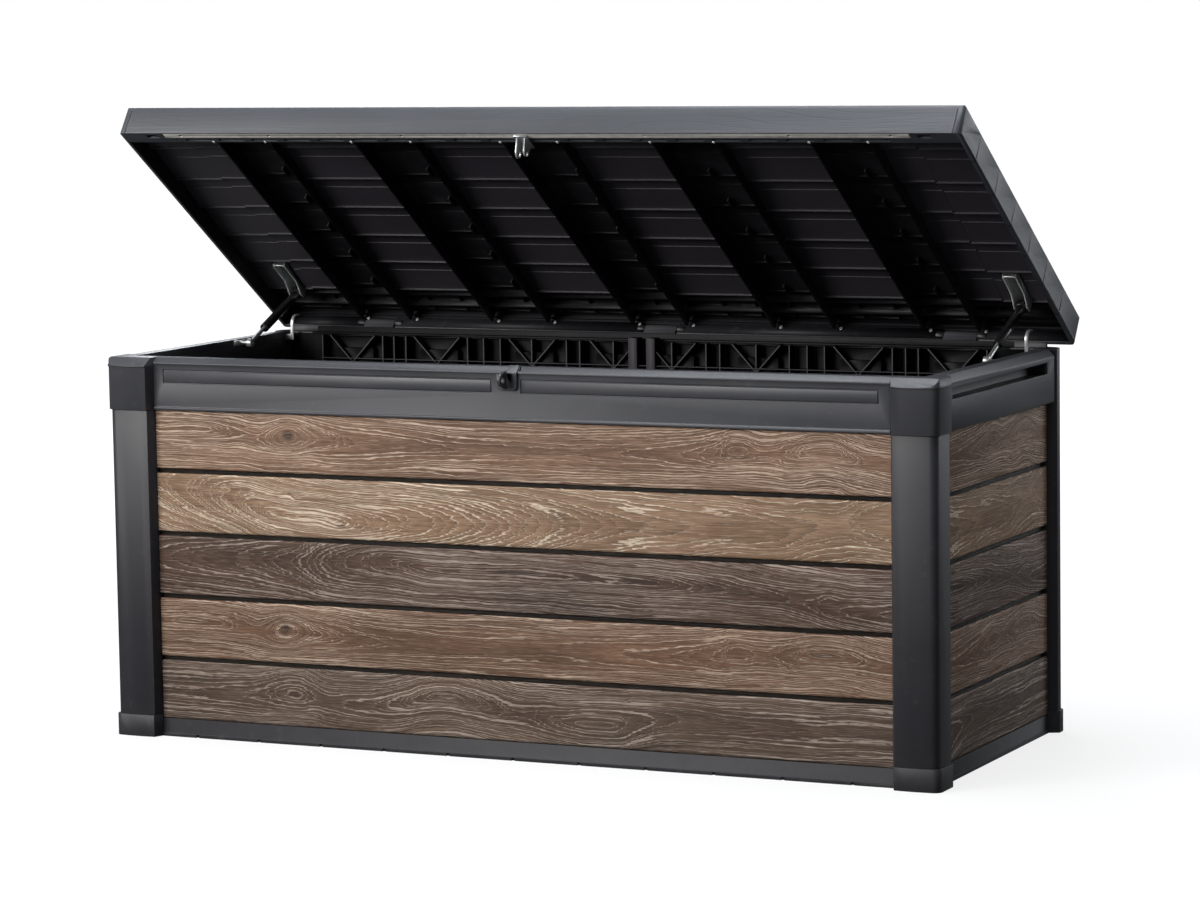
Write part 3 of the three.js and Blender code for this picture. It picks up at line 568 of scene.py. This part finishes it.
def grained_lid(name, colour, hinge, angle, shade_box):
    """The lid's plastic: the frame's satin finish with a shallow wood grain along each plank, dark painted
    shade along the seams between planks, and black painted shade inside the lid.
    """
    g = Graph(name)
    x, depth, rise = lid_coords(g, hinge, angle)
    place = g.vector(x, depth, rise)
    relief = lid_relief(g, x, depth, rise)
    stipple = g.noise(place, 2.0, 0.6, scale=STIPPLE_SCALE)
    drift = g.noise(place, 3.0, 0.55, scale=5.0)
    base = g.shade(colour, g.times(g.vary(drift, 0.92, 1.08), g.vary(relief, 0.88, 1.10)))
    tone, seam_shade = plank_marks(g, depth)
    base = g.shade(base, tone)
    # Painted shade: a dark line along each groove between planks.
    base = g.mix(g.times(seam_shade, 0.75), base, SEAM_SHADE_BLACK)
    # Painted shade: the inside of the lid is painted the inner black.
    base = g.mix(inside(g, (x, depth, rise), *shade_box), base, INNER_BLACK)
    height = g.add(relief, g.times(stipple, 0.25))
    return g.finish(base, g.vary(relief, 0.50, 0.40), g.bump(height, LID_RELIEF, 0.7), specular=0.45)


# ---- metals ----
BRUSH_ALONG = 30.0        # drawn lines per metre along the steel
BRUSH_ACROSS = 1500.0
BRUSH_DEPTH = 0.00006
PEEL_DEPTH = 0.00005
RUBBED_GREY = rgb(0.06, 0.06, 0.065)


def plated(name, colour, rough, axis=0, metallic=0.7):
    """Zinc-plated steel with drawn lines along one axis and a patchy passivated tone."""
    g = Graph(name)
    place = list(g.coords())
    run = place.pop(axis)
    first, second = (g.times(value, BRUSH_ACROSS) for value in place)
    lines = g.vector(g.times(run, BRUSH_ALONG), first, second)
    brushed = g.noise(lines, 2.0, 0.6)
    cloud = g.noise(g.vector(run, place[0], place[1]), 3.0, 0.6, scale=60.0)
    base = g.shade(colour, g.times(g.vary(brushed, 0.86, 1.08), g.vary(cloud, 0.82, 1.10)))
    roughness = g.vary(cloud, rough + 0.08, rough - 0.06)
    return g.finish(base, roughness, g.bump(brushed, BRUSH_DEPTH, 0.5), metallic=metallic)


def enamel(name, colour):
    """Black stoved enamel on the gas-strut barrels, with a fine orange peel."""
    g = Graph(name)
    x, y, z = g.coords()
    place = g.vector(x, y, z)
    peel = g.noise(place, 1.0, 0.5, scale=700.0)
    rub = g.span(g.noise(place, 4.0, 0.7, scale=90.0), 0.55, 0.75)
    base = g.mix(g.times(rub, 0.18), colour, RUBBED_GREY)
    roughness = g.add(g.times(rub, 0.2), 0.24)
    material = g.finish(base, roughness, g.bump(peel, PEEL_DEPTH, 0.5), specular=0.5)
    g.shader.inputs["Coat Weight"].default_value = 0.3
    g.shader.inputs["Coat Roughness"].default_value = 0.15
    return material


# ---- the materials ----
hinge = next(joint for joint in frame["joints"] if joint["name"] == "lid_hinge")
hinge_place = Vector(hinge["pos_m"])
open_angle = math.radians(-hinge["range_deg"][0])

GRAPHITE = rgb(0.054, 0.055, 0.063)
DARK_GRAPHITE = rgb(0.024, 0.023, 0.029)
LID_GRAPHITE = rgb(0.052, 0.056, 0.066)
INNER_BLACK = rgb(0.0130, 0.0120, 0.0145)
LINING_BLACK = rgb(0.0440, 0.0390, 0.0480)
TRUSS_BLACK = rgb(0.0620, 0.0580, 0.0640)
# Painted shade: the near black painted where the frame's hollows lie in the dark.
PAINTED_SHADE_BLACK = rgb(0.0040, 0.0036, 0.0044)
ENAMEL_BLACK = rgb(0.012, 0.012, 0.013)
ZINC_GREY = rgb(0.66, 0.67, 0.68)
BAR_GREY = rgb(0.80, 0.77, 0.72)
PAN_GREY = rgb(0.42, 0.44, 0.43)
RIM_GREY = rgb(0.95, 0.96, 0.97)

# Parts of the frame's plastic that lie in the dark of the box are painted black as painted shade: the hand
# slots, the inner side of the rear rail, and what shows behind the rear wall's trusses. A box of painted
# shade runs from a low to a high corner.
SLOT_SKIN = 0.004         # of the side rail outside each hand slot
SLOT_DEEP = 0.03
SLOT_REACH = 0.235
SLOT_HEIGHTS = (0.60, 0.634)
RAIL_SKIN = 0.0008
TRUSS_THICK = 0.004
TRUSS_SKIN = 0.0012


def slot_shade_box(side):
    """The box of painted shade in the hand slot on one side: 1 for the right, -1 for the left."""
    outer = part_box("rail_right")[1].x * side
    ends = sorted((outer - SLOT_DEEP * side, outer - SLOT_SKIN * side))
    return (ends[0], -SLOT_REACH, SLOT_HEIGHTS[0]), (ends[1], SLOT_REACH, SLOT_HEIGHTS[1])


rail_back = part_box("board_rear_1")[1].y + RAIL_SKIN
truss_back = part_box("liner_rear")[0].y + TRUSS_THICK + TRUSS_SKIN
# Boxes of painted shade: the inner side of the rear rail, and what shows behind the trusses.
shade_behind_rim = ((-1, 0.2, 0.5), (1, rail_back, 0.7))
shade_behind_trusses = ((-1, truss_back, 0.5), (1, 0.3, 0.7))

# The box inside the lid that is painted black as painted shade, along, up and across the lid from its
# hinge.
LID_WALL = 0.008
LID_FRONT_WALL = 0.029
LID_REACH = 0.665
LID_DEEP = (-0.0085, 0.037)
lid_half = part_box("lid_shell")[1].x
lid_shade_box = (
    (-lid_half + LID_WALL / 2, -LID_REACH + LID_FRONT_WALL, LID_DEEP[0]),
    (lid_half - LID_WALL / 2, -0.001, LID_DEEP[1]),
)

graphite = moulded("graphite_plastic", GRAPHITE, 0.42)
side_graphite = moulded("side_rail_plastic", GRAPHITE, 0.42, shade_boxes=[slot_shade_box(1), slot_shade_box(-1)])
rear_graphite = moulded("rear_rail_plastic", GRAPHITE, 0.50, shade_boxes=[shade_behind_rim], specular=0.12)
truss_black = moulded("truss_plastic", TRUSS_BLACK, 0.50, shade_boxes=[shade_behind_trusses], specular=0.10)
dark_graphite = moulded("dark_graphite_plastic", DARK_GRAPHITE, 0.52, dust=0.06)
inner_black = moulded("inner_plastic", INNER_BLACK, 0.50, specular=0.18)
lining_black = moulded("lining_plastic", LINING_BLACK, 0.42)
lid_plastic = grained_lid("lid_plastic", LID_GRAPHITE, hinge_place, open_angle, lid_shade_box)
zinc = plated("zinc_steel", ZINC_GREY, 0.36)
bar_steel = plated("bar_steel", BAR_GREY, 0.48, metallic=0.10)
pan_steel = plated("pan_steel", PAN_GREY, 0.42, axis=1, metallic=0.35)
rim_steel = plated("rim_steel", RIM_GREY, 0.34, axis=1, metallic=0.25)
black_enamel = enamel("strut_enamel", ENAMEL_BLACK)


def set_material(obj, material):
    obj.data.materials.clear()
    obj.data.materials.append(material)


WELD_REACH = 0.00001
SHARP_ANGLE = 30          # degrees, past which an edge is bevelled


def soften(obj, width, segments=2):
    """Rounds a piece's edges: its corners are joined, bevelled and shaded smooth."""
    weld = obj.modifiers.new("weld", "WELD")
    weld.merge_threshold = WELD_REACH
    bevel = obj.modifiers.new("bevel", "BEVEL")
    bevel.width = width
    bevel.segments = segments
    bevel.limit_method = "ANGLE"
    bevel.angle_limit = math.radians(SHARP_ANGLE)
    bevel.harden_normals = True
    bevel.use_clamp_overlap = True
    for face in obj.data.polygons:
        face.use_smooth = True


# ---- materials on the CAD nodes ----
BOARD_EDGE = 0.0012
LID_EDGE = 0.0010
TUBE_EDGE = 0.0006
FINE_EDGE = 0.0004        # of liners and small steel parts
FRAME_EDGES = {
    "foot": 0.0012,
    "post": 0.0010,
    "cap": 0.0010,
    "rail": 0.0006,
    "base": 0.0008,
    "hasp": 0.0008,
}
DARK_FAMILIES = ("foot", "post", "base")
OWN_PLASTICS = {"rail_left": side_graphite, "rail_right": side_graphite, "rail_rear": rear_graphite}
OWN_STEELS = {"lid_bar": bar_steel, "strut_channel_left": pan_steel, "strut_channel_right": pan_steel}

# Each wall: the axis that its boards run along, and which way the printed pattern runs on it.
WALLS = {"front": (0, 1), "rear": (0, -1), "left": (1, -1), "right": (1, 1)}


def dress_board(wall, row, axis, sense):
    """One board, cut from the printed pattern so that its right end is at the wall's right end."""
    node = f"board_{wall}_{row}"
    low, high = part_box(node)
    right_end = high[axis] if sense > 0 else -low[axis]
    shift = PRINT_END - right_end
    middle = (low.z + high.z) / 2 - TONGUE_RISE
    inward = 1 if wall in ("front", "left") else -1
    face = low[1 - axis] if inward > 0 else high[1 - axis]
    oak = wood(f"oak_{wall}_{row}", row, axis, sense, shift, middle, face, inward, row * ROW_SEED)
    set_material(nodes[node], oak)
    soften(nodes[node], BOARD_EDGE)


def dress_node(name, obj):
    """The material and the edges of any CAD node but a board."""
    family = name.split("_")[0]
    if name == "lid_shell":
        set_material(obj, lid_plastic)
        soften(obj, LID_EDGE)
    elif family in FRAME_EDGES:
        plastic = dark_graphite if family in DARK_FAMILIES else graphite
        set_material(obj, OWN_PLASTICS.get(name, plastic))
        soften(obj, FRAME_EDGES[family])
    elif family == "liner" or name == "lid_liner":
        set_material(obj, truss_black if name == "liner_rear" else inner_black)
        soften(obj, FINE_EDGE, 1)
    elif name.startswith("strut_tube"):
        set_material(obj, black_enamel)
        soften(obj, TUBE_EDGE)
    else:
        set_material(obj, OWN_STEELS.get(name, zinc))
        soften(obj, FINE_EDGE)


for wall, (axis, sense) in WALLS.items():
    for row in BOARD_ROWS:
        dress_board(wall, row, axis, sense)
for name, obj in nodes.items():
    if not name.startswith("board"):
        dress_node(name, obj)


# ---- fine pieces, made in the closed lid's frame and turned open ----
def opened(x, y, z):
    """A point of the closed lid, where the open lid carries it."""
    dy = y - hinge_place.y
    dz = z - hinge_place.z
    return Vector((
        x,
        hinge_place.y + dy * math.cos(open_angle) + dz * math.sin(open_angle),
        hinge_place.z - dy * math.sin(open_angle) + dz * math.cos(open_angle),
    ))


def add_piece(name, build, material):
    """Turns a mesh under construction into a piece that rides on the lid."""
    mesh = bpy.data.meshes.new(name)
    bmesh.ops.recalc_face_normals(build, faces=build.faces)
    build.to_mesh(mesh)
    build.free()
    piece = bpy.data.objects.new(name, mesh)
    scene.collection.objects.link(piece)
    set_material(piece, material)
    for face in mesh.polygons:
        face.use_smooth = True
    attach(piece, "lid")
    return piece


def join_rings(build, rings):
    """Faces between each ring of points and the next."""
    for ring, following in zip(rings, rings[1:]):
        count = len(ring)
        for k in range(count):
            after = (k + 1) % count
            build.faces.new((ring[k], ring[after], following[after], following[k]))


def close_ends(build, rings):
    build.faces.new(rings[0][::-1])
    build.faces.new(rings[-1])


def round_ring(build, centre, first, second, radius, sides):
    """A ring of points round a centre."""
    turns = [2 * math.pi * k / sides for k in range(sides)]
    return [build.verts.new(centre + radius * (first * math.cos(t) + second * math.sin(t))) for t in turns]


def prism(build, outline, x0, x1):
    """An outline of (y, z) points in the closed lid's frame, drawn out from x0 to x1."""
    ends = [[build.verts.new(opened(x, y, z)) for y, z in outline] for x in (x0, x1)]
    join_rings(build, ends)
    close_ends(build, ends)


BAR_SIDES = 10


def sweep(build, points, radius):
    """A round bar along the points, closed at both ends."""
    rings = []
    for i, point in enumerate(points):
        ahead = points[min(i + 1, len(points) - 1)]
        behind = points[max(i - 1, 0)]
        along = (ahead - behind).normalized()
        if rings:
            first = (first - along * first.dot(along)).normalized()
        else:
            first = along.orthogonal().normalized()
        rings.append(round_ring(build, point, first, along.cross(first), radius, BAR_SIDES))
    join_rings(build, rings)
    close_ends(build, rings)


RIB_PLACES = (0.052, 0.218, 0.330, 0.495, 0.595)      # of the lid's ribs, each side of the middle
STRUT_X = 0.694
FLANGE_X = 0.0115                                     # of each flange of a strut's channel, from its middle
RIM_RADIUS = 0.0013
RIM_EDGE = ((0.2405, 0.6655), (0.2300, 0.6640), (0.2170, 0.6700), (0.2010, 0.6760), (0.1700, 0.6770))
BEND_RADIUS = 0.006                                   # of the rim round the channel's far corner
BEND_START = 0.155
BEND_HEIGHT = 0.6775
BEND_STEPS = 4


def channel_rims():
    """The rolled edge of each strut's channel."""
    for side, s in (("left", -1), ("right", 1)):
        bend = [math.radians(90 * k / BEND_STEPS) for k in range(BEND_STEPS + 1)]
        points = [(FLANGE_X, y, z) for y, z in RIM_EDGE]
        for t in bend:
            x = FLANGE_X - BEND_RADIUS * (1 - math.cos(t))
            points.append((x, BEND_START - BEND_RADIUS * math.sin(t), BEND_HEIGHT))
        points += [(-x, y, z) for x, y, z in reversed(points)]
        build = bmesh.new()
        sweep(build, [opened(s * STRUT_X + x, y, z) for x, y, z in points], RIM_RADIUS)
        add_piece(f"channel_rim_{side}", build, rim_steel)


HINGE_PLACES = (-0.560, 0.0, 0.560)
HINGE_ROOM = 0.0325                                   # kept free each side of a hinge's middle
ROOM_TOP = 0.6725
LINING_NEAR = 0.3208
LINING_FAR = 0.3218
LINING_BOTTOM = 0.6535
LINING_TOP = 0.6935
LINING_HALF = 0.7555
LINING_GAP = 0.0003


def slab(build, low, high):
    """A plain block between two corners of the closed lid's frame."""
    outline = [(low[1], low[2]), (high[1], low[2]), (high[1], high[2]), (low[1], high[2])]
    prism(build, outline, low[0], high[0])


def lid_rear_lining():
    """A thin black lining on the inside of the lid's rear wall, cut away round the hinges."""
    build = bmesh.new()
    slab(build, (-LINING_HALF, LINING_NEAR, ROOM_TOP), (LINING_HALF, LINING_FAR, LINING_TOP))
    edges = [place + s * HINGE_ROOM for place in HINGE_PLACES for s in (-1, 1)]
    edges = [-LINING_HALF, *edges, LINING_HALF]
    for x0, x1 in zip(edges[0::2], edges[1::2]):
        slab(build, (x0, LINING_NEAR, LINING_BOTTOM), (x1, LINING_FAR, ROOM_TOP - LINING_GAP))
    add_piece("lid_rear_lining", build, inner_black)


RIDGE_WALL = 0.3209
RIDGE_DEPTH = 0.0034
RIDGE_HALF = 0.742
RIDGE_HEIGHTS = (0.6775, 0.6885)
RIDGE_EDGE = 0.0004


def lid_rails():
    """Two ridges along the inside of the lid's rear wall."""
    tip = RIDGE_WALL - RIDGE_DEPTH
    for number, height in enumerate(RIDGE_HEIGHTS):
        outline = [(RIDGE_WALL, height - 0.0022), (tip, height - 0.0014), (tip, height + 0.0010),
                   (RIDGE_WALL, height + 0.0022)]
        build = bmesh.new()
        prism(build, outline, -RIDGE_HALF, RIDGE_HALF)
        piece = add_piece(f"lid_ridge_{number + 1}", build, inner_black)
        soften(piece, RIDGE_EDGE)


LID_REAR = 0.330
PANEL_ENDS = (0.636, 0.582, 0.480, 0.386, 0.292, 0.200, 0.103)     # from the lid's rear edge
PANEL_TOP = 0.6885
PANEL_FALL = 0.007
PANEL_SKIN = 0.0035
PANEL_EDGE = 0.0005
CREASE_SHARE = 0.36                                                # of the panel's length, to its crease
CREASE_FALL = 0.3                                                  # of the panel's whole fall
CREASE_DEPTH = 0.0013
LEDGE = 0.0026
LEDGE_LENGTH = 0.003
JOG_PLACE = 0.660
JOG = 0.004
PANEL_GAP = 0.0004
SKIRT_GAP = 0.001
CHANNEL_CLEAR = (0.676, 0.712)                                     # kept free beside a strut's channel
RIB_HALF = 0.0022


def lid_panel(build, x0, x1, front, rear):
    """One plank's panel under the lid: it falls to a ledge at its rear end."""
    high = PANEL_TOP - PANEL_SKIN
    crease = front + (rear - front) * CREASE_SHARE
    low = high - PANEL_FALL
    shelf = high - PANEL_FALL * CREASE_FALL
    foot = rear - LEDGE_LENGTH
    outline = [(front, PANEL_TOP), (front, high), (crease, shelf), (crease, shelf - CREASE_DEPTH),
               (foot, low), (foot, low - LEDGE), (rear, low - LEDGE), (rear, PANEL_TOP)]
    prism(build, outline, x0, x1)


def panel_column(build, s, x0, x1, jog):
    """A bay's panels, one for each plank. With a jog, the last one leaves the strut's channel free."""
    last = len(PANEL_ENDS) - 2
    for row, (front, rear) in enumerate(zip(PANEL_ENDS, PANEL_ENDS[1:])):
        y0 = LID_REAR - front + (jog if row else 0.0)
        y1 = LID_REAR - rear + jog
        pieces = [(x0, x1)]
        if jog and row == last:
            pieces = [(x0, CHANNEL_CLEAR[0]), (CHANNEL_CLEAR[1], x1)]
        for a, b in pieces:
            lid_panel(build, s * a, s * b, y0, y1 - PANEL_GAP)


def lid_panels():
    """Panels in the lid's wide bays. The narrow bays between them stay deep."""
    bays = (
        (RIB_PLACES[0] + RIB_HALF, RIB_PLACES[1] - RIB_HALF, 0.0),
        (RIB_PLACES[2] + RIB_HALF, RIB_PLACES[3] - RIB_HALF, 0.0),
        (RIB_PLACES[4] + RIB_HALF, JOG_PLACE, 0.0),
        (JOG_PLACE, lid_half - LID_WALL - SKIRT_GAP, JOG),
    )
    for number, (x0, x1, jog) in enumerate(bays):
        for side, s in (("left", -1), ("right", 1)):
            build = bmesh.new()
            panel_column(build, s, x0, x1, jog)
            piece = add_piece(f"lid_panel_{side}_{number + 1}", build, lining_black)
            soften(piece, PANEL_EDGE)


SCREW_SIDES = 14
# A screw's head: each ring's radius and height, in radii of the screw, out to its rim and in to its recess.
SCREW_RINGS = ((1.0, 0.0), (1.0, 0.28), (0.80, 0.52), (0.46, 0.60), (0.40, 0.30))
RECESS_FLOOR = 0.22
LIP_SCREW = (0.007, -0.3100, 0.6521)                  # beside its rib, and its place in the closed lid
REAR_SCREW = (0.009, 0.3207, 0.6690)
LIP_SCREW_RADIUS = 0.0026
REAR_SCREW_RADIUS = 0.0034


def screw(build, place, axis, radius):
    """A pan-head screw with a round recess. Its head stands along the axis."""
    first = axis.orthogonal().normalized()
    second = axis.cross(first)
    rings = []
    for share, rise in SCREW_RINGS:
        centre = place + axis * (rise * radius)
        rings.append(round_ring(build, centre, first, second, share * radius, SCREW_SIDES))
    middle = build.verts.new(place + axis * (RECESS_FLOOR * radius))
    base = build.verts.new(place)
    join_rings(build, rings)
    for k in range(SCREW_SIDES):
        after = (k + 1) % SCREW_SIDES
        build.faces.new((rings[-1][k], rings[-1][after], middle))
        build.faces.new((rings[0][after], rings[0][k], base))


def lid_screws():
    """Screws at both ends of every rib under the lid."""
    down = opened(0, 0, -1) - opened(0, 0, 0)
    forward = opened(0, -1, 0) - opened(0, 0, 0)
    rows = {
        "lip_screws": (LIP_SCREW, down, LIP_SCREW_RADIUS),
        "rear_screws": (REAR_SCREW, forward, REAR_SCREW_RADIUS),
    }
    for name, ((aside, y, z), axis, radius) in rows.items():
        build = bmesh.new()
        for place in RIB_PLACES:
            for s in (-1, 1):
                screw(build, opened(s * place + aside, y, z), axis, radius)
        add_piece(name, build, rim_steel)


channel_rims()
lid_rear_lining()
lid_rails()
lid_panels()
lid_screws()


# ---- floor ----
FLOOR_RADIUS = 120
FLOOR_SIDES = 96
FADE_NEAR = 1.2           # the floor's own light grows between these distances from the box
FADE_FAR = 4.5
FLOOR_GLOW = (0.80, 1.0)
FLOOR_GREYS = (rgb(0.17, 0.17, 0.17), rgb(0.18, 0.18, 0.18))
GLOW_WHITE = (1, 1, 1, 1)


def make_floor():
    """A pale floor that brightens away from the box into the white behind it."""
    mesh = bpy.data.meshes.new("floor")
    build = bmesh.new()
    bmesh.ops.create_circle(build, cap_ends=True, segments=FLOOR_SIDES, radius=FLOOR_RADIUS)
    build.to_mesh(mesh)
    build.free()
    floor = bpy.data.objects.new("floor", mesh)
    scene.collection.objects.link(floor)
    g = Graph("floor")
    x, y, z = g.coords()
    mottle = g.noise(g.vector(x, y, z), 3.0, 0.5, scale=1.5)
    g.shader.inputs["Emission Color"].default_value = GLOW_WHITE
    glow = g.span(g.length(x, y), FADE_NEAR, FADE_FAR, *FLOOR_GLOW, smooth=True)
    g.put(g.shader.inputs["Emission Strength"], glow)
    colour = g.mix(g.vary(mottle, 0.0, 1.0), *FLOOR_GREYS)
    set_material(floor, g.finish(colour, 0.9, specular=0.0))
    floor.visible_glossy = False
    floor.visible_diffuse = False


make_floor()
